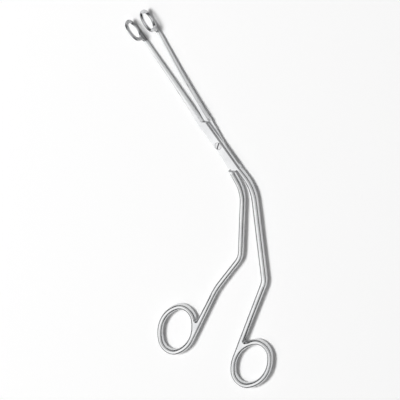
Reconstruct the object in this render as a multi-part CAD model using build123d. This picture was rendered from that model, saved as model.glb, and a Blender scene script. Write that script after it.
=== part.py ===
from build123d import *
import os
from math import acos, atan2, copysign, cos, degrees, radians, sin, tan

# Angled throat forceps, adult size, lying flat and a little open.
# Millimetres. The origin is on the pivot axis at the underside of the joint.
# +Y runs from the pivot to the jaw tips, +Z is up, and both handles bend towards -X.
# The two halves are drawn closed, face to face on the plane X = 0, then turned open.

# Pose
REST_OPENING = 7.4          # degrees between the two blades as they lie

# Blades and loop jaws
TIP_REACH = 101.0           # pivot axis to the jaw tips
JAW_GAP = 0.10              # between the two serrated faces when closed
BLADE_RELIEF = 0.60         # extra gap between the blades next to the joint when closed
THINNED_BY = 60.0           # pivot axis to where the blade is as thin as the loop
NECK_HEIGHT = 2.9           # blade height where it runs into the loop
LOOP_THICKNESS = 1.8        # loop plate, across the closing direction
LOOP_LENGTH = 15.8          # loop outline, along the blade
LOOP_HEIGHT = 11.6          # loop outline, across the blade
LOOP_END_RADIUS = 4.7       # rounded ends of the loop outline
LOOP_HOLE_LENGTH = 11.6
LOOP_HOLE_HEIGHT = 8.0
LOOP_HOLE_END_RADIUS = 3.3
NECK_FILLET = 2.0           # where the loop swells out of the blade
BLADE_EDGE_CHAMFER = 0.4    # back edges of loop and blade

# Serrations across the loop faces
TOOTH_PITCH = 0.85
TOOTH_DEPTH = 0.30
SERRATED_LENGTH = 18.0      # from the tip to just past the neck

# Half-lap joint
LAP_THICKNESS = 5.0         # both halves together, and the height of the handles
LAP_WIDTH = 7.2
LAP_TO_TIPS = 16.5          # pivot axis to the outer end of the shoulder, towards the tips
LAP_TO_HANDLES = 17.0       # the same, towards the handles
SHOULDER_SLANT = 35.0       # degrees off square
SHOULDER_GAP = 0.15
LAP_RUNNING_GAP = 0.06      # between the two lap faces

# Joint screw
SCREW_DIAMETER = 3.2
SCREW_HEAD_DIAMETER = 4.8
SCREW_HEAD_DEPTH = 1.3      # seat of the head below the top face
SCREW_HEAD_RISE = 0.2       # crown of the head above the top face
SCREW_SLOT_WIDTH = 0.8
SCREW_SLOT_DEPTH = 0.7
SCREW_SLOT_TURN = 35.0      # degrees, how the slot happens to stand
SCREW_RADIAL_FIT = 0.05     # in the upper half, which turns on it

# Handles: bars with broken edges, level with the joint
HANDLE_WIDTH_AT_LAP = 3.4
HANDLE_EDGE_CHAMFER = 1.1   # along the joint as well
HANDLE_GAP = 0.20           # between the handles beside the joint when closed

# Centre line of the upper half's handle, from the joint to the ring, angles off the blade line
UPPER_BAR_WIDTH = 4.4
UPPER_FIRST_BEND_REACH = 35.5
UPPER_FIRST_BEND_RADIUS = 27.0
UPPER_MIDDLE_ANGLE = 33.9
UPPER_MIDDLE_LENGTH = 64.5
UPPER_END_ANGLE = 62.1
UPPER_END_LENGTH = 62.7
UPPER_RING_CANT = 13.0      # degrees that the ring's long axis leans in to the other ring

# The lower half's handle straightens once more before its ring
LOWER_BAR_WIDTH = 3.8
LOWER_FIRST_BEND_REACH = 34.0
LOWER_FIRST_BEND_RADIUS = 22.0
LOWER_MIDDLE_ANGLE = 36.2
LOWER_MIDDLE_LENGTH = 46.2
LOWER_THIRD_ANGLE = 69.7
LOWER_THIRD_LENGTH = 31.9
LOWER_THIRD_BEND_RADIUS = 70.0
LOWER_END_ANGLE = 59.2
LOWER_END_LENGTH = 44.4
LOWER_RING_CANT = -1.1

SECOND_BEND_RADIUS = 14.0

# Finger rings: an oval of four arcs
RING_HOLE_LENGTH = 32.4
RING_HOLE_WIDTH = 20.2
RING_HOLE_END_RADIUS = 6.8
RING_BAR_WIDTH = 3.8
CROTCH_FILLET = 0.6         # between handle and ring

# Worked out from the sizes above
LOOP_CENTRE_Y = TIP_REACH - LOOP_LENGTH / 2
NECK_Y = TIP_REACH - SERRATED_LENGTH
HALF_LAP_WIDTH = LAP_WIDTH / 2
SHOULDER_RUN = HALF_LAP_WIDTH * tan(radians(SHOULDER_SLANT))
LAP_PLANE = LAP_THICKNESS / 2
OVERCUT = 2.0               # how far cutting bodies run past what they cut
NEAR = 0.01                 # two points nearer than this are the same point
BLADE_HEEL_Y = LAP_TO_TIPS - OVERCUT
HANDLE_START_Y = OVERCUT - LAP_TO_HANDLES
LAP_END_Y = -LAP_TO_HANDLES - SHOULDER_RUN

# Each bend is its centre-line radius, the angle after it and the length that follows
UPPER_BENDS = (
    (UPPER_FIRST_BEND_RADIUS, UPPER_MIDDLE_ANGLE, UPPER_MIDDLE_LENGTH),
    (SECOND_BEND_RADIUS, UPPER_END_ANGLE, UPPER_END_LENGTH),
)
LOWER_BENDS = (
    (LOWER_FIRST_BEND_RADIUS, LOWER_MIDDLE_ANGLE, LOWER_MIDDLE_LENGTH),
    (SECOND_BEND_RADIUS, LOWER_THIRD_ANGLE, LOWER_THIRD_LENGTH),
    (LOWER_THIRD_BEND_RADIUS, LOWER_END_ANGLE, LOWER_END_LENGTH),
)


def side_radius_of(length, width, end_radius):
    """Radius of the two side arcs of an oval with the given end arcs."""
    end_centre = length / 2 - end_radius
    half_width = width / 2
    return (end_centre**2 + half_width**2 - end_radius**2) / (2 * (half_width - end_radius))


def oval_face(length, width, end_radius):
    """Oval of four tangent arcs about the origin, long axis along X."""
    end_centre = length / 2 - end_radius
    side_radius = side_radius_of(length, width, end_radius)
    side_centre = side_radius - width / 2
    side_half_angle = degrees(atan2(end_centre, side_centre))
    end_half_angle = 90 - side_half_angle
    arcs = []
    for turn in (0, 180):
        flip = cos(radians(turn))
        end_start = turn - end_half_angle
        side_start = turn + end_half_angle
        arcs.append(CenterArc((flip * end_centre, 0), end_radius, end_start, 2 * end_half_angle))
        arcs.append(CenterArc((0, -flip * side_centre), side_radius, side_start, 2 * side_half_angle))
    return make_face(arcs)


def direction(angle):
    """Unit vector that leans by angle from -Y towards -X."""
    return Vector(-sin(radians(angle)), -cos(radians(angle)))


def across(angle):
    """Unit vector square to direction(angle), on its +X side."""
    return Vector(cos(radians(angle)), -sin(radians(angle)))


def mitre(corner, angle_in, angle_out, offset):
    """Where two edges meet that run beside a bent centre line at the given offset."""
    middle = (angle_in + angle_out) / 2
    stretch = 1 / cos(radians(angle_out - angle_in) / 2)
    return corner + across(middle) * (offset * stretch)


def bar_outline(side, width, first_reach, bends):
    """Corners of one handle bar's outer and inner edges, and the corner radii that go with them."""
    half_bend = width / 2
    corner = Vector(side * (HANDLE_GAP / 2 + half_bend), -first_reach)
    angle_in = 0.0
    outer, inner, radii = [], [], []
    for radius, angle, length in bends:
        outer.append(mitre(corner, angle_in, angle, side * half_bend))
        inner.append(mitre(corner, angle_in, angle, -side * half_bend))
        widening = copysign(side * half_bend, side * (angle - angle_in))
        radii.append((outer[-1], radius + widening))
        radii.append((inner[-1], radius - widening))
        corner = corner + direction(angle) * length
        angle_in = angle
    half_end = RING_BAR_WIDTH / 2
    outer_end = corner + across(angle_in) * (side * half_end)
    inner_end = corner - across(angle_in) * (side * half_end)
    return outer, outer_end, inner, inner_end, radii


def handle_face(side, width, first_reach, bends, cant):
    """Outline of one handle bar with its finger ring; side is +1 where the ring is on the +X side."""
    outer, outer_end, inner, inner_end, radii = bar_outline(side, width, first_reach, bends)

    # The ring's inner side arc touches the inner edge of the bar at inner_end
    along_edge = (inner_end - inner[-1]).normalized()
    edge_angle = degrees(atan2(-along_edge.X, -along_edge.Y))
    outward = across(edge_angle) * side
    ring_angle = edge_angle + side * cant
    ring_outward = across(ring_angle) * side
    ring_length = RING_HOLE_LENGTH + 2 * RING_BAR_WIDTH
    ring_width = RING_HOLE_WIDTH + 2 * RING_BAR_WIDTH
    ring_end_radius = RING_HOLE_END_RADIUS + RING_BAR_WIDTH
    side_radius = side_radius_of(ring_length, ring_width, ring_end_radius)
    side_centre = inner_end + outward * side_radius
    ring_centre = side_centre - ring_outward * (side_radius - ring_width / 2)
    ring_turn = degrees(atan2(direction(ring_angle).Y, direction(ring_angle).X))
    place = Pos(ring_centre.X, ring_centre.Y) * Rot(0, 0, ring_turn)

    # The bar keeps one width along the joint, and its far end stops inside the ring's own bar
    near_x = side * HANDLE_GAP / 2
    far_x = side * (HANDLE_GAP / 2 + HANDLE_WIDTH_AT_LAP)
    inside_ring = outer_end - along_edge * RING_BAR_WIDTH
    bar = make_face(Polyline(
        (near_x, HANDLE_START_Y), *inner, inner_end, inside_ring, *reversed(outer),
        (far_x, LAP_END_Y), (far_x, HANDLE_START_Y), close=True))
    for corner, radius in radii:
        bar = fillet(bar.vertices().sort_by_distance(corner)[0], radius)

    whole = bar + place * oval_face(ring_length, ring_width, ring_end_radius)
    opening_angle = acos((side_radius - RING_BAR_WIDTH) / side_radius)
    crotch_guess = outer_end - along_edge * (side_radius * sin(opening_angle))
    whole = fillet(whole.vertices().sort_by_distance(crotch_guess)[0], CROTCH_FILLET)
    return whole - place * oval_face(RING_HOLE_LENGTH, RING_HOLE_WIDTH, RING_HOLE_END_RADIUS)


def handle(side, *route):
    """Handle bar and finger ring with broken edges, level with the joint."""
    bar = extrude(handle_face(side, *route), LAP_THICKNESS)
    flat_faces = bar.faces().filter_by(Axis.Z)
    long_edges = [edge for edge in flat_faces.edges() if edge.center().Y < HANDLE_START_Y - NEAR]
    return chamfer(long_edges, HANDLE_EDGE_CHAMFER)


def blade_plan(side):
    """Blade seen from above: it thins in a long arc, then keeps the loop's plate thickness to the tip."""
    face_x = side * JAW_GAP / 2
    back_x = face_x + side * LOOP_THICKNESS
    outline = [
        Line((back_x, TIP_REACH), (back_x, THINNED_BY)),
        TangentArc((back_x, THINNED_BY), (side * HALF_LAP_WIDTH, BLADE_HEEL_Y), tangent=(0, -1)),
        Polyline(
            (side * HALF_LAP_WIDTH, BLADE_HEEL_Y),
            (face_x + side * BLADE_RELIEF / 2, BLADE_HEEL_Y),
            (face_x, NECK_Y),
            (face_x, TIP_REACH),
            (back_x, TIP_REACH)),
    ]
    return make_face(outline)


def blade_profile():
    """Blade and loop seen from the side, as a face with X for the blade's length and Y for height."""
    shank = make_face(Polyline(
        (BLADE_HEEL_Y, 0),
        (LOOP_CENTRE_Y, 0),
        (LOOP_CENTRE_Y, NECK_HEIGHT),
        (LAP_TO_TIPS, LAP_THICKNESS),
        (BLADE_HEEL_Y, LAP_THICKNESS), close=True))
    loop = oval_face(LOOP_LENGTH, LOOP_HEIGHT, LOOP_END_RADIUS)
    hole = oval_face(LOOP_HOLE_LENGTH, LOOP_HOLE_HEIGHT, LOOP_HOLE_END_RADIUS)
    place = Pos(LOOP_CENTRE_Y, LOOP_HEIGHT / 2)
    whole = shank + place * loop
    neck_guess = Vector(TIP_REACH - LOOP_LENGTH, NECK_HEIGHT)
    whole = fillet(whole.vertices().sort_by_distance(neck_guess)[0], NECK_FILLET)
    return whole - place * hole


def serrations(side):
    """V-grooves across the loop's inner face, square to the blade."""
    face_x = side * JAW_GAP / 2
    groove = make_face(Polyline(
        (face_x - side * TOOTH_DEPTH, -2 * TOOTH_DEPTH),
        (face_x + side * TOOTH_DEPTH, 0),
        (face_x - side * TOOTH_DEPTH, 2 * TOOTH_DEPTH), close=True))
    prism = Pos(0, 0, -OVERCUT) * extrude(groove, LOOP_HEIGHT + 2 * OVERCUT)
    count = int(SERRATED_LENGTH / TOOTH_PITCH)
    return [Pos(0, TIP_REACH - (index + 0.5) * TOOTH_PITCH, 0) * prism for index in range(count)]


def faces_back(face, side):
    """Whether a face of the blade looks away from the other blade."""
    normal = face.normal_at()
    return side * normal.X > abs(normal.Y) + abs(normal.Z)


def blade(side):
    """Tapered blade with its loop jaw, cut from the plan and the side profile together."""
    plan = extrude(blade_plan(side), LOOP_HEIGHT)
    profile_plane = Plane(origin=(0, 0, 0), x_dir=(0, 1, 0), z_dir=(1, 0, 0))
    profile = extrude(profile_plane * blade_profile(), HALF_LAP_WIDTH + OVERCUT, both=True)
    body = plan & profile
    back = [face for face in body.faces() if faces_back(face, side)]
    edges = [edge for face in back for edge in face.edges() if edge.center().Y > BLADE_HEEL_Y + NEAR]
    return chamfer(edges, BLADE_EDGE_CHAMFER) - serrations(side)


def lap_outline(side, gap=0.0, widen=0.0):
    """Plan of one lap plate; side is its blade's side, and gap moves the shoulder ends outwards."""
    half = HALF_LAP_WIDTH + widen
    slope = tan(radians(SHOULDER_SLANT))
    end_gap = gap / cos(radians(SHOULDER_SLANT))
    tip = LAP_TO_TIPS + end_gap
    heel = LAP_TO_HANDLES + end_gap
    return make_face(Polyline(
        (side * half, -heel + widen * slope),
        (0, -heel - SHOULDER_RUN),
        (-side * half, -heel - SHOULDER_RUN),
        (-side * half, tip - widen * slope),
        (0, tip + SHOULDER_RUN),
        (side * half, tip + SHOULDER_RUN), close=True))


def half(side, level, route):
    """One forged half: loop jaw, blade, lap plate, handle and finger ring; level is +1 for the upper lap."""
    block = extrude(lap_outline(side), LAP_THICKNESS)
    block = chamfer(block.edges().filter_by(Axis.Y), HANDLE_EDGE_CHAMFER)
    full = block + blade(side) + handle(-side, *route)
    recess_depth = LAP_PLANE + LAP_RUNNING_GAP / 2 + OVERCUT
    recess = extrude(lap_outline(-side, SHOULDER_GAP, OVERCUT), recess_depth)
    if level > 0:
        recess = Pos(0, 0, -OVERCUT) * recess
    else:
        recess = Pos(0, 0, LAP_PLANE - LAP_RUNNING_GAP / 2) * recess
    return full - recess


def upper_half():
    """Left jaw, upper lap and right-hand ring, with the seat for the screw's head."""
    body = half(-1, 1, (UPPER_BAR_WIDTH, UPPER_FIRST_BEND_REACH, UPPER_BENDS, UPPER_RING_CANT))
    bore = Cylinder(SCREW_DIAMETER / 2 + SCREW_RADIAL_FIT, 2 * LAP_THICKNESS + OVERCUT)
    seat_radius = SCREW_HEAD_DIAMETER / 2 + SCREW_RADIAL_FIT
    seat_z = LAP_THICKNESS - SCREW_HEAD_DEPTH
    seat = Pos(0, 0, seat_z) * Cylinder(
        seat_radius, LAP_THICKNESS, align=(Align.CENTER, Align.CENTER, Align.MIN))
    return body - bore - seat


def lower_half():
    """Right jaw, lower lap and left-hand ring, with the hole that holds the screw."""
    body = half(1, -1, (LOWER_BAR_WIDTH, LOWER_FIRST_BEND_REACH, LOWER_BENDS, LOWER_RING_CANT))
    return body - Cylinder(SCREW_DIAMETER / 2, 2 * LAP_THICKNESS + OVERCUT)


def joint_screw():
    """Slotted screw with a low crowned head; its shank ends flush with the underside."""
    low = (Align.CENTER, Align.CENTER, Align.MIN)
    head_z = LAP_THICKNESS - SCREW_HEAD_DEPTH + SCREW_RADIAL_FIT
    head_radius = SCREW_HEAD_DIAMETER / 2
    rim_height = LAP_THICKNESS - head_z
    crown_radius = (head_radius**2 + SCREW_HEAD_RISE**2) / (2 * SCREW_HEAD_RISE)
    crown_centre_z = LAP_THICKNESS + SCREW_HEAD_RISE - crown_radius
    blank = Pos(0, 0, head_z) * Cylinder(head_radius, rim_height + SCREW_HEAD_RISE, align=low)
    head = blank & Pos(0, 0, crown_centre_z) * Sphere(crown_radius)
    slot_z = LAP_THICKNESS + SCREW_HEAD_RISE - SCREW_SLOT_DEPTH
    shank = Cylinder(SCREW_DIAMETER / 2, slot_z, align=low)
    slot = Pos(0, 0, slot_z) * Box(
        2 * SCREW_HEAD_DIAMETER, SCREW_SLOT_WIDTH, 2 * SCREW_SLOT_DEPTH, align=low)
    return Rot(0, 0, SCREW_SLOT_TURN) * (head + shank - slot)


def main():
    os.makedirs("parts", exist_ok=True)
    pieces = {
        "upper_half": Rot(0, 0, REST_OPENING / 2) * upper_half(),
        "lower_half": Rot(0, 0, -REST_OPENING / 2) * lower_half(),
        "joint_screw": joint_screw(),
    }
    for name, piece in pieces.items():
        export_step(piece, f"parts/{name}.step")


if __name__ == "__main__":
    main()
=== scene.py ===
# %% [markdown]
# # Throat forceps in satin steel
# This lesson dresses a long pair of angled forceps. Two forged halves cross
# at a screwed lap joint, with serrated loops at the tips and finger rings at
# the other end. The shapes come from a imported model, and here they get their
# smooth skins, their steel and their studio.

from math import cos, pi, radians, sin

import bmesh
import bpy
from mathutils import Matrix, Vector


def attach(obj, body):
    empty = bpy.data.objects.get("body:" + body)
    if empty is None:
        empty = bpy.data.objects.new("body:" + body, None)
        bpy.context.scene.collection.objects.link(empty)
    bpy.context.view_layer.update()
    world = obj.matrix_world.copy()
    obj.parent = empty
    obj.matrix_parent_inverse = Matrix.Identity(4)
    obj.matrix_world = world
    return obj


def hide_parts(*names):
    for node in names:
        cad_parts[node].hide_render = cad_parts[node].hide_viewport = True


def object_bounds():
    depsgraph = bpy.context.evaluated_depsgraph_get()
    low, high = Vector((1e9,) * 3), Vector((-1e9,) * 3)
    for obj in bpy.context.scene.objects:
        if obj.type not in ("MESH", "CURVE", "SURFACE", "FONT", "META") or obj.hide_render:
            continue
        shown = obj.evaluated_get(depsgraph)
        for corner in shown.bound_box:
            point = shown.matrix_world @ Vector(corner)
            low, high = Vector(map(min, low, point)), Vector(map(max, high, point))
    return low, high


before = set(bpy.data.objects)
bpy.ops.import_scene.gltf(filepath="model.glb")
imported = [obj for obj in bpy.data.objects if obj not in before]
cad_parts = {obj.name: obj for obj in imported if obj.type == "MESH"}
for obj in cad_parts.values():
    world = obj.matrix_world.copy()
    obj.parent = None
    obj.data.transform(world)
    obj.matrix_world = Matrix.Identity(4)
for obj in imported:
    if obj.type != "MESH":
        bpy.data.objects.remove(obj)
cad_low, cad_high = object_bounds()
scene = bpy.context.scene
print("model's low corner in mm:", [round(1000 * v, 1) for v in cad_low])
print("model's high corner in mm:", [round(1000 * v, 1) for v in cad_high])

# %% [markdown]
# ## Camera
# The drawing shows the forceps flat, seen from their right side and from
# above, with the page turned so that the tips point up. A camera is placed
# most safely by its three axes: where right, up and backwards point. A long
# lens from far away keeps the two halves as parallel as a drawing has them.

# %% Place the camera
VIEW_RIGHT = Vector((0.684, -0.534, -0.497))
VIEW_UP = Vector((0.432, 0.845, -0.314))
VIEW_BACK = Vector((0.588, 0.0, 0.809))
SHIFT_RIGHT = -0.0143
SHIFT_UP = -0.0364
FRAME_WIDTH = 0.260
CAMERA_DISTANCE = 2.5
SENSOR_WIDTH = 36.0

looked_at = SHIFT_RIGHT * VIEW_RIGHT + SHIFT_UP * VIEW_UP
camera_data = bpy.data.cameras.new("catalogue_camera")
camera_data.sensor_width = SENSOR_WIDTH
camera_data.lens = SENSOR_WIDTH * CAMERA_DISTANCE / FRAME_WIDTH
camera = bpy.data.objects.new("catalogue_camera", camera_data)
turn = Matrix((VIEW_RIGHT, VIEW_UP, VIEW_BACK)).transposed().to_4x4()
camera.matrix_world = Matrix.Translation(looked_at + CAMERA_DISTANCE * VIEW_BACK) @ turn
scene.collection.objects.link(camera)
scene.camera = camera
scene.view_settings.view_transform = "Standard"
print("lens in mm:", round(camera_data.lens))

# %% [markdown]
# ## Helpers for node trees
# Every material, group and the world is a small tree of nodes. Adding a
# node, setting its values and linking it takes three kinds of lines, so a
# short helper does all three. Two more serve what is used often: a sum or
# product of two values, and a grey of a given brightness.

# %% Write the node helpers
def add_node(tree, kind, inputs=None, **settings):
    node = tree.nodes.new(kind)
    for name, value in settings.items():
        setattr(node, name, value)
    for name, value in (inputs or {}).items():
        if isinstance(value, bpy.types.NodeSocket):
            tree.links.new(value, node.inputs[name])
        else:
            node.inputs[name].default_value = value
    return node


def math_node(tree, operation, first, second):
    return add_node(tree, "ShaderNodeMath", {0: first, 1: second}, operation=operation).outputs[0]


def grey(brightness):
    return (brightness, brightness, brightness, 1.0)


print("a middle grey is written", grey(0.5))

# %% [markdown]
# ## Floor
# The forceps lie on a white sheet. The sheet is a plain pale surface, and
# rays from the camera and from the steel see a little extra brightness on
# it, so that it reads as white paper. Its shadow under the steel stays,
# because the extra brightness is small and lights nothing. The sky needs the
# same kinds of rays, so one helper gathers them for both.

# %% Lay the white sheet
SHEET_SIZE = 8.0
SHEET_COLOUR = grey(0.92)
SHEET_GLOW = 0.10


def rays_that_look(tree):
    rays = add_node(tree, "ShaderNodeLightPath")
    seen = math_node(tree, "MAXIMUM", rays.outputs["Is Camera Ray"], rays.outputs["Is Glossy Ray"])
    return math_node(tree, "MAXIMUM", seen, rays.outputs["Is Transmission Ray"])


reach = SHEET_SIZE / 2
sheet_corners = [
    (-reach, -reach, cad_low.z),
    (reach, -reach, cad_low.z),
    (reach, reach, cad_low.z),
    (-reach, reach, cad_low.z),
]
floor_mesh = bpy.data.meshes.new("white_sheet")
floor_mesh.from_pydata(sheet_corners, [], [(0, 1, 2, 3)])
floor = bpy.data.objects.new("white_sheet", floor_mesh)
scene.collection.objects.link(floor)

paper = bpy.data.materials.new("white_paper")
paper.use_nodes = True
paper.node_tree.nodes.clear()
tree = paper.node_tree
brightness = math_node(tree, "MULTIPLY", rays_that_look(tree), SHEET_GLOW)
matt = add_node(tree, "ShaderNodeBsdfDiffuse", {"Color": SHEET_COLOUR})
glow = add_node(tree, "ShaderNodeEmission", {"Strength": brightness})
both = add_node(tree, "ShaderNodeAddShader", {0: matt.outputs[0], 1: glow.outputs[0]})
add_node(tree, "ShaderNodeOutputMaterial", {"Surface": both.outputs[0]})
floor_mesh.materials.append(paper)
print("floor at mm:", round(1000 * cad_low.z, 2))

# %% [markdown]
# ## Sky
# Steel shows what is around it more than its own colour. A photographer of
# bright tools puts something dark beside them, so that each round edge
# mirrors it as a dark line. Here a ramp over the height makes such a room: a
# white strip at the horizon, dark walls above it and a white ceiling. Only
# the camera and the steel see this room, and an even, weaker fill lights
# everything else.

# %% Build the sky
WHITE_STRIP_TOP = 0.07
WALL_START = 0.13
WALL_END = 0.46
CEILING_START = 0.66
WALL_GREY = 0.01
CEILING_WHITE = 0.75
FILL_LIGHT = 0.09

world = bpy.data.worlds.new("studio_room")
scene.world = world
world.use_nodes = True
tree = world.node_tree
tree.nodes.clear()
direction = add_node(tree, "ShaderNodeTexCoord").outputs["Generated"]
height = add_node(tree, "ShaderNodeSeparateXYZ", {0: direction}).outputs["Z"]
ramp = add_node(tree, "ShaderNodeValToRGB", {"Fac": height})
stops = ramp.color_ramp.elements
stops[0].position = WHITE_STRIP_TOP
stops[1].position = CEILING_START
stops[0].color = grey(1.0)
stops[1].color = grey(CEILING_WHITE)
for position in (WALL_START, WALL_END):
    stops.new(position).color = grey(WALL_GREY)
room = add_node(tree, "ShaderNodeBackground", {"Color": ramp.outputs["Color"], "Strength": 1.0})
fill = add_node(tree, "ShaderNodeBackground", {"Color": grey(1.0), "Strength": FILL_LIGHT})
mixed = add_node(
    tree,
    "ShaderNodeMixShader",
    {0: rays_that_look(tree), 1: fill.outputs[0], 2: room.outputs[0]},
)
add_node(tree, "ShaderNodeOutputWorld", {"Surface": mixed.outputs[0]})
print("sky from grey", WALL_GREY, "to white above", CEILING_START)

# %% [markdown]
# ## Lamps
# Drawings of tools are shaded as if the light came from the upper left, with
# a heavier line along the lower right. Two soft boxes copy that here. One
# stands where the flat tops mirror it towards the camera, so that they turn
# nearly white. The key box stands beyond the jaws and throws the narrow
# shadow to the lower right. A photographer would screen it off from the
# steel. Here it is left out of the reflections, so that it burns no white
# spot into a round edge.

# %% Hang the soft boxes
MIRRORED_TOWARDS = (-0.588, 0.0, 0.809)
MIRRORED_DISTANCE = 2.4
MIRRORED_SIZE = 2.4
MIRRORED_RADIANCE = 0.60
KEY_TOWARDS = (-0.24, 0.34, 0.91)
KEY_DISTANCE = 4.0
KEY_SIZE = 1.3
KEY_RADIANCE = 25.0


def soft_box(name, towards, distance, size, radiance):
    lamp_data = bpy.data.lights.new(name, "AREA")
    lamp_data.shape = "RECTANGLE"
    lamp_data.size = size
    lamp_data.size_y = size
    lamp_data.energy = radiance * pi * size * size
    lamp = bpy.data.objects.new(name, lamp_data)
    lamp.location = looked_at + distance * Vector(towards).normalized()
    lamp.rotation_euler = Vector(towards).to_track_quat("Z", "Y").to_euler()
    scene.collection.objects.link(lamp)
    print(name, "at", [round(v, 2) for v in lamp.location])
    return lamp


soft_box("mirrored_box", MIRRORED_TOWARDS, MIRRORED_DISTANCE, MIRRORED_SIZE, MIRRORED_RADIANCE)
key_box = soft_box("key_box", KEY_TOWARDS, KEY_DISTANCE, KEY_SIZE, KEY_RADIANCE)
key_box.visible_glossy = False

# %% [markdown]
# ## Fine lines of polishing
# Surgical steel is ground or buffed. Each grit leaves hair-thin lines, seen
# less as lines than as a soft, slightly uneven shine. A noise makes them.
# Stretched, it is fine across the stroke and long along it, and unstretched
# it is the even grain that a soft wheel leaves. The group puts out one mask,
# which serves the roughness and the height of the Bump node.

# %% Build the polishing-lines group
POLISHING_DETAIL = 2.0
POLISHING_ROUGHNESS = 0.6
GROUND_STRETCH = 0.03
BUFFED_STRETCH = 1.0


def new_group(name, kind, inputs, outputs):
    group = bpy.data.node_groups.new(name, kind)
    for label, socket_type, value in inputs:
        socket = group.interface.new_socket(label, in_out="INPUT", socket_type=socket_type)
        if value is not None:
            socket.default_value = value
    for label, socket_type in outputs:
        group.interface.new_socket(label, in_out="OUTPUT", socket_type=socket_type)
    return group, add_node(group, "NodeGroupInput"), add_node(group, "NodeGroupOutput")


polishing, taken, given = new_group(
    "polishing_lines",
    "ShaderNodeTree",
    [
        ("Vector", "NodeSocketVector", None),
        ("Lines per metre", "NodeSocketFloat", 3000.0),
        ("Stretch", "NodeSocketFloat", GROUND_STRETCH),
    ],
    [("Lines", "NodeSocketFloat")],
)
squeeze = add_node(
    polishing,
    "ShaderNodeCombineXYZ",
    {"X": 1.0, "Y": taken.outputs["Stretch"], "Z": 1.0},
)
stretched = add_node(
    polishing,
    "ShaderNodeVectorMath",
    {0: taken.outputs["Vector"], 1: squeeze.outputs[0]},
    operation="MULTIPLY",
)
hairs = add_node(
    polishing,
    "ShaderNodeTexNoise",
    {
        "Vector": stretched.outputs[0],
        "Scale": taken.outputs["Lines per metre"],
        "Detail": POLISHING_DETAIL,
        "Roughness": POLISHING_ROUGHNESS,
    },
)
polishing.links.new(hairs.outputs[0], given.inputs["Lines"])
print("polishing lines from", len(polishing.nodes), "nodes")

# %% [markdown]
# ## Wear from handling
# Steel that is washed and handled is never evenly clean. Broad soft patches
# shine a little less, and fine scratches run in all directions. One noise
# makes the patches. The scratches are a thin band around the middle value of
# a second noise, which winds over the surface like a dropped thread.

# %% Build the handling-marks group
PATCHES_PER_METRE = 55.0
PATCH_DETAIL = 3.0
PATCH_ROUGHNESS = 0.55
PATCH_EDGES = (0.35, 0.68)
THREADS_PER_METRE = 420.0
THREAD_DETAIL = 1.0
THREAD_BEND = 1.4
THREAD_EDGES = (0.004, 0.014)
MIDDLE_VALUE = 0.5

handling, taken, given = new_group(
    "handling_marks",
    "ShaderNodeTree",
    [
        ("Vector", "NodeSocketVector", None),
        ("Patch scale", "NodeSocketFloat", PATCHES_PER_METRE),
        ("Scratch scale", "NodeSocketFloat", THREADS_PER_METRE),
    ],
    [("Patches", "NodeSocketFloat"), ("Scratches", "NodeSocketFloat")],
)
patches = add_node(
    handling,
    "ShaderNodeTexNoise",
    {
        "Vector": taken.outputs["Vector"],
        "Scale": taken.outputs["Patch scale"],
        "Detail": PATCH_DETAIL,
        "Roughness": PATCH_ROUGHNESS,
    },
)
softened = add_node(
    handling,
    "ShaderNodeMapRange",
    {"Value": patches.outputs[0], "From Min": PATCH_EDGES[0], "From Max": PATCH_EDGES[1]},
    interpolation_type="SMOOTHSTEP",
)
threads = add_node(
    handling,
    "ShaderNodeTexNoise",
    {
        "Vector": taken.outputs["Vector"],
        "Scale": taken.outputs["Scratch scale"],
        "Detail": THREAD_DETAIL,
        "Distortion": THREAD_BEND,
    },
)
off_middle = math_node(handling, "SUBTRACT", threads.outputs[0], MIDDLE_VALUE)
thin = add_node(
    handling,
    "ShaderNodeMapRange",
    {
        "Value": math_node(handling, "ABSOLUTE", off_middle, 0.0),
        "From Min": THREAD_EDGES[0],
        "From Max": THREAD_EDGES[1],
        "To Min": 1.0,
        "To Max": 0.0,
    },
)
handling.links.new(softened.outputs["Result"], given.inputs["Patches"])
handling.links.new(thin.outputs["Result"], given.inputs["Scratches"])
print("handling marks from", len(handling.nodes), "nodes")

# %% [markdown]
# ## Two steels
# The halves are forged, then the joint and the blades are ground lengthwise,
# while the handles are buffed on a soft wheel that leaves no direction. One
# material can hold both: around the joint's rear shoulder it blends straight
# lines into an even grain. The teeth and the slot carry an attribute that
# says how deep a point lies. There the metal is duller and has painted shade,
# a darker colour in the grooves. Both steels are the Principled shader at
# full Metallic.

# %% Write how a steel is made
GRINDING_FULL = -0.014
GRINDING_GONE = -0.030
# Painted shade: the dark base colour given to the roots of the teeth and the floor of the slot.
PAINTED_GROOVE_SHADE = (0.20, 0.20, 0.21, 1.0)
DEEP_ROUGHNESS = 0.22


def mix_colours(tree, factor, first, second):
    inputs = {0: factor, 6: first, 7: second}
    return add_node(tree, "ShaderNodeMix", inputs, data_type="RGBA").outputs[2]


def mix_values(tree, factor, first, second):
    inputs = {0: factor, 2: first, 3: second}
    return add_node(tree, "ShaderNodeMix", inputs, data_type="FLOAT").outputs[0]


def lines_of(tree, place, lines_per_metre, stretch):
    inputs = {"Vector": place, "Lines per metre": lines_per_metre, "Stretch": stretch}
    return add_node(tree, "ShaderNodeGroup", inputs, node_tree=polishing).outputs["Lines"]


def ground_or_buffed(tree, place, lines_per_metre):
    ground = lines_of(tree, place, lines_per_metre, GROUND_STRETCH)
    buffed = lines_of(tree, place, lines_per_metre, BUFFED_STRETCH)
    along = add_node(tree, "ShaderNodeSeparateXYZ", {0: place}).outputs["Y"]
    grinding = add_node(
        tree,
        "ShaderNodeMapRange",
        {"Value": along, "From Min": GRINDING_GONE, "From Max": GRINDING_FULL},
        interpolation_type="SMOOTHSTEP",
    ).outputs["Result"]
    return mix_values(tree, grinding, buffed, ground)


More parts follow.
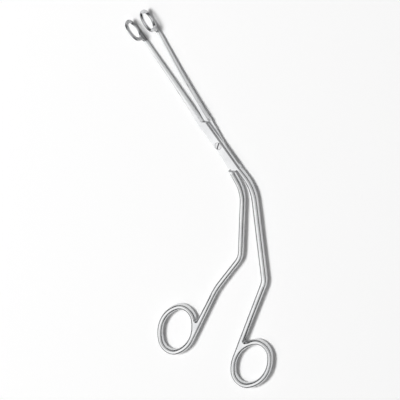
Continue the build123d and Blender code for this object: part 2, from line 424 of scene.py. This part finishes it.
def make_steel(name, pale, shade, roughness, spread, lines_per_metre, bump_height):
    material = bpy.data.materials.new(name)
    material.use_nodes = True
    tree = material.node_tree
    tree.nodes.clear()
    place = add_node(tree, "ShaderNodeTexCoord").outputs["Object"]
    lines = ground_or_buffed(tree, place, lines_per_metre)
    marks = add_node(
        tree,
        "ShaderNodeGroup",
        {"Vector": place, "Patch scale": PATCHES_PER_METRE, "Scratch scale": THREADS_PER_METRE},
        node_tree=handling,
    )
    depth = add_node(tree, "ShaderNodeAttribute", attribute_name="depth").outputs["Fac"]
    tint = mix_colours(tree, marks.outputs["Patches"], pale, shade)
    # Painted shade: the colour darkens towards this dark grey where the depth attribute is high, in
    # the grooves.
    tint = mix_colours(tree, depth, tint, PAINTED_GROOVE_SHADE)
    dulled = math_node(tree, "MULTIPLY", marks.outputs["Patches"], spread)
    lined = math_node(tree, "MULTIPLY", lines, spread)
    sunk = math_node(tree, "MULTIPLY", depth, DEEP_ROUGHNESS)
    uneven = math_node(tree, "ADD", dulled, lined)
    rough = math_node(tree, "ADD", uneven, math_node(tree, "ADD", sunk, roughness))
    relief = math_node(tree, "SUBTRACT", lines, marks.outputs["Scratches"])
    bump = add_node(
        tree,
        "ShaderNodeBump",
        {"Height": relief, "Strength": 1.0, "Distance": bump_height},
    )
    surface = add_node(
        tree,
        "ShaderNodeBsdfPrincipled",
        {"Base Color": tint, "Metallic": 1.0, "Roughness": rough, "Normal": bump.outputs[0]},
    )
    add_node(tree, "ShaderNodeOutputMaterial", {"Surface": surface.outputs[0]})
    print(name, "has", len(tree.nodes), "nodes")
    return material


print("grinding fades between mm:", round(1000 * GRINDING_FULL), round(1000 * GRINDING_GONE))

# %% [markdown]
# ## The halves' steel and the screw's
# The halves get the paler satin steel. The screw is turned and slotted by
# itself and never buffed with them, so its steel is a little darker and
# duller, with finer lines.

# %% Make the steels
satin_steel = make_steel(
    "satin_steel",
    pale=(0.69, 0.695, 0.70, 1.0),
    shade=(0.61, 0.615, 0.625, 1.0),
    roughness=0.10,
    spread=0.08,
    lines_per_metre=3200.0,
    bump_height=0.0000006,
)
turned_steel = make_steel(
    "turned_steel",
    pale=(0.62, 0.62, 0.625, 1.0),
    shade=(0.54, 0.54, 0.55, 1.0),
    roughness=0.14,
    spread=0.05,
    lines_per_metre=5200.0,
    bump_height=0.0000004,
)

# %% [markdown]
# ## Smooth skins
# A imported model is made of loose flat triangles, so light breaks at each
# facet. Points that lie together have to be merged before a surface can be
# shaded smooth, and edges that turn sharply have to stay crisp, such as
# teeth and shoulders. The same three steps serve every piece, so they are
# one Geometry Nodes tree with the distance, the angle and the finish as its
# inputs. Each node of the model gets a copy that goes through it.

# %% Build the skin tree
skin_tree, taken, given = new_group(
    "smooth_skin",
    "GeometryNodeTree",
    [
        ("Geometry", "NodeSocketGeometry", None),
        ("Merge distance", "NodeSocketFloat", None),
        ("Crisp angle", "NodeSocketFloat", None),
        ("Finish", "NodeSocketMaterial", None),
    ],
    [("Geometry", "NodeSocketGeometry")],
)
merged = add_node(
    skin_tree,
    "GeometryNodeMergeByDistance",
    {"Geometry": taken.outputs["Geometry"], "Distance": taken.outputs["Merge distance"]},
)
fold = add_node(skin_tree, "GeometryNodeInputMeshEdgeAngle").outputs["Unsigned Angle"]
gentle = add_node(
    skin_tree,
    "FunctionNodeCompare",
    {"A": fold, "B": taken.outputs["Crisp angle"]},
    data_type="FLOAT",
    operation="LESS_THAN",
)
smooth_faces = add_node(
    skin_tree,
    "GeometryNodeSetShadeSmooth",
    {"Geometry": merged.outputs[0], "Shade Smooth": True},
    domain="FACE",
)
smooth_edges = add_node(
    skin_tree,
    "GeometryNodeSetShadeSmooth",
    {"Geometry": smooth_faces.outputs[0], "Shade Smooth": gentle.outputs[0]},
    domain="EDGE",
)
whole = add_node(skin_tree, "GeometryNodeRealizeInstances", {"Geometry": smooth_edges.outputs[0]})
dressed = add_node(
    skin_tree,
    "GeometryNodeSetMaterial",
    {"Geometry": whole.outputs[0], "Material": taken.outputs["Finish"]},
)
skin_tree.links.new(dressed.outputs[0], given.inputs["Geometry"])
skin_sockets = {
    item.name: item.identifier
    for item in skin_tree.interface.items_tree
    if item.in_out == "INPUT"
}
print("skin tree inputs:", list(skin_sockets))

# %% [markdown]
# ## Which edges are round
# The model breaks its long edges with flat chamfers. On the real bars and
# rings buffing has rounded them, and to a lesser degree the joint's outer
# edges, the back edges of the blades and the rim of the screw's head. A
# Bevel modifier that follows an edge weight rounds just these edges, and
# leaves the teeth alone. A chamfer's edges are known by their fold of about
# 45 degrees and by running level. Edges beside the screw's seat stay as they
# are, because only a hair of flat is left between them and the seat.

# %% Tell the edges apart
CHAMFER_FOLDS = (radians(38), radians(52))
LEVEL_SLOPE = 0.1
SEAT_MARGIN = 0.0030
HEAD_RADIUS = 0.0024
HEAD_TOLERANCE = 0.00001
LAP_TOP = 0.0049
RIM_FOLD = radians(60)


def chamfer_between(edge, first, last):
    start, end = (vertex.co for vertex in edge.verts)
    inside = first < min(start.y, end.y) and max(start.y, end.y) < last
    level = abs(start.z - end.z) < LEVEL_SLOPE * edge.calc_length()
    return inside and level and CHAMFER_FOLDS[0] < edge.calc_face_angle(0) < CHAMFER_FOLDS[1]


def beside_seat(edge):
    start, end = (vertex.co.xy for vertex in edge.verts)
    return abs(start.cross(end)) < SEAT_MARGIN * (start - end).length


def screw_rim(edge):
    offsets = [abs(vertex.co.xy.length - HEAD_RADIUS) for vertex in edge.verts]
    near = all(offset < HEAD_TOLERANCE for offset in offsets)
    high = all(vertex.co.z > LAP_TOP for vertex in edge.verts)
    return near and high and edge.calc_face_angle(0) > RIM_FOLD


print("the rim lies", round(1000 * HEAD_RADIUS, 2), "mm from the screw's axis")

# %% [markdown]
# ## Weights for the rounding
# A bevel needs clean ground. The flats arrive as many triangles, so those in
# one plane are first rejoined to one face. Just behind the shoulder of the
# joint the mesh is cut across, so that the rounding of the handles starts on
# a straight line. The first straight piece of a handle is slender and gets a
# smaller rounding. Tight corners, as in the crotches of the rings, have
# edges shorter than the rounding itself. These and their short neighbours
# keep the plain chamfer.

# %% Weigh the edges to round
FLAT_ANGLE = radians(0.3)
HANDLES_BEGIN = -0.0203
CUT_TOLERANCE = 0.00001
FIRST_STRAIGHT_END = -0.0280
BEYOND_RINGS = -1.0
TIGHT_CORNER = 0.00040
LONG_EDGE = 0.0040
LAP_EDGE_LENGTH = 0.030
BLADES_BEGIN = 0.021
BLADES_END = 0.080
BAR_SHARE = 1.0
FIRST_SHARE = 0.8
LAP_SHARE = 0.8
BLADE_SHARE = 0.26
RIM_SHARE = 0.25


def rejoin_flats(shape):
    bmesh.ops.dissolve_limit(shape, angle_limit=FLAT_ANGLE, verts=[], edges=shape.edges)
    bmesh.ops.bisect_plane(
        shape,
        geom=shape.verts[:] + shape.edges[:] + shape.faces[:],
        plane_co=(0.0, HANDLES_BEGIN, 0.0),
        plane_no=(0.0, 1.0, 0.0),
    )


def chamfer_edges(shape, first, last):
    return {edge for edge in shape.edges if chamfer_between(edge, first, last)}


def bar_edges(shape):
    bars = chamfer_edges(shape, BEYOND_RINGS, HANDLES_BEGIN + CUT_TOLERANCE)
    short = {edge for edge in bars if edge.calc_length() < TIGHT_CORNER}
    tight = {vertex for edge in short for vertex in edge.verts}
    loose = {edge for edge in bars if not tight.intersection(edge.verts)}
    return loose | {edge for edge in bars if edge.calc_length() > LONG_EDGE}


def lap_edges(shape):
    laps = chamfer_edges(shape, HANDLES_BEGIN, BLADES_BEGIN)
    return {edge for edge in laps if edge.calc_length() > LAP_EDGE_LENGTH and not beside_seat(edge)}


def bar_share(edge):
    slender = max(vertex.co.y for vertex in edge.verts) > FIRST_STRAIGHT_END
    return FIRST_SHARE if slender else BAR_SHARE


def weigh_edges(mesh):
    shape = bmesh.new()
    shape.from_mesh(mesh)
    rejoin_flats(shape)
    layers = shape.edges.layers.float
    weight = layers.get("bevel_weight_edge") or layers.new("bevel_weight_edge")
    bars, laps = bar_edges(shape), lap_edges(shape)
    blades = chamfer_edges(shape, BLADES_BEGIN, BLADES_END)
    rims = {edge for edge in shape.edges if screw_rim(edge)}
    for edge in bars:
        edge[weight] = bar_share(edge)
    for edges, share in ((laps, LAP_SHARE), (blades, BLADE_SHARE), (rims, RIM_SHARE)):
        for edge in edges:
            edge[weight] = share
    shape.to_mesh(mesh)
    shape.free()
    return len(bars), len(laps), len(blades), len(rims)


print("handles are cut at mm:", round(1000 * HANDLES_BEGIN, 2))

# %% [markdown]
# ## Deep places
# Grooves get painted shade: a darker colour stands in for the shade that
# falls into them, and their metal is made duller too. A point attribute
# called depth holds 1 at the root of a tooth or the floor of the slot and 0
# on the open surface. The jaws stand a little open, so a point is first
# turned back by half the opening: then its distance from the middle plane is
# its depth between the teeth. The side is +1 or -1 for the two halves and 0
# for the screw.

# %% Mark the depth
HALF_OPENING = radians(3.7)
TEETH_BEGIN = 0.0825
TOOTH_DEPTH = 0.00030
JAW_HALF_GAP = 0.00005
TOOTH_SHARES = (-0.3, 1.4)
SEAT_RADIUS = 0.0026
SLOT_HEIGHTS = (0.0040, 0.0048)


def depth_of(point, side):
    if side == 0:
        in_slot = SLOT_HEIGHTS[0] < point.z < SLOT_HEIGHTS[1]
        return 1.0 if in_slot and point.xy.length < SEAT_RADIUS else 0.0
    if point.y < TEETH_BEGIN:
        return 0.0
    from_middle = side * point.x * cos(HALF_OPENING) - point.y * sin(HALF_OPENING)
    sunk = (from_middle - JAW_HALF_GAP) / TOOTH_DEPTH
    return min(sunk, 1.0) if TOOTH_SHARES[0] < sunk < TOOTH_SHARES[1] else 0.0


def mark_depth(mesh, side):
    layer = mesh.attributes.new("depth", "FLOAT", "POINT")
    values = [max(0.0, depth_of(vertex.co, side)) for vertex in mesh.vertices]
    layer.data.foreach_set("value", values)
    return sum(value > 0.5 for value in values)


print("teeth are deep at mm:", round(1000 * TOOTH_DEPTH, 2))

# %% [markdown]
# ## Finished skins
# Each skin is merged, marked, rounded and given weighted normals. The bevel
# marks the faces that it leaves as strong, and the weighted normals follow
# the strong faces, so that the broad flats stay flat beside the small
# rounds. The modifiers are then turned into plain mesh, and only then does
# the skin stand in for its node of the model.

# %% Make the skins
MERGE_DISTANCE = 0.000002
CRISP_ANGLE = radians(32)
ROUND_WIDTH = 0.00068
ROUND_SEGMENTS = 4


def plain_copy(thing, name):
    ready = thing.evaluated_get(bpy.context.evaluated_depsgraph_get())
    copy = bpy.data.objects.new(name, bpy.data.meshes.new_from_object(ready))
    bpy.data.objects.remove(thing)
    scene.collection.objects.link(copy)
    return copy


def smooth_skin(node_name, finish):
    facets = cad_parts[node_name].data.copy()
    rough = bpy.data.objects.new(node_name + "_facets", facets)
    scene.collection.objects.link(rough)
    modifier = rough.modifiers.new("skin", "NODES")
    modifier.node_group = skin_tree
    modifier[skin_sockets["Merge distance"]] = MERGE_DISTANCE
    modifier[skin_sockets["Crisp angle"]] = CRISP_ANGLE
    modifier[skin_sockets["Finish"]] = finish
    return plain_copy(rough, node_name + "_merged")


def finished_skin(node_name, body, finish, side):
    piece = smooth_skin(node_name, finish)
    deep = mark_depth(piece.data, side)
    counts = weigh_edges(piece.data)
    bevel = piece.modifiers.new("round", "BEVEL")
    bevel.limit_method = "WEIGHT"
    bevel.width = ROUND_WIDTH
    bevel.segments = ROUND_SEGMENTS
    bevel.use_clamp_overlap = False
    bevel.face_strength_mode = "FSTR_ALL"
    even = piece.modifiers.new("even", "WEIGHTED_NORMAL")
    even.keep_sharp = True
    even.use_face_influence = True
    piece = plain_copy(piece, node_name + "_skin")
    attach(piece, body)
    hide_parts(node_name)
    print(piece.name, "bar, lap, blade and rim edges rounded:", counts, "deep points:", deep)


finished_skin("upper_half", "upper_arm", satin_steel, side=-1)
finished_skin("lower_half", "lower_arm", satin_steel, side=1)
finished_skin("joint_screw", "lower_arm", turned_steel, side=0)
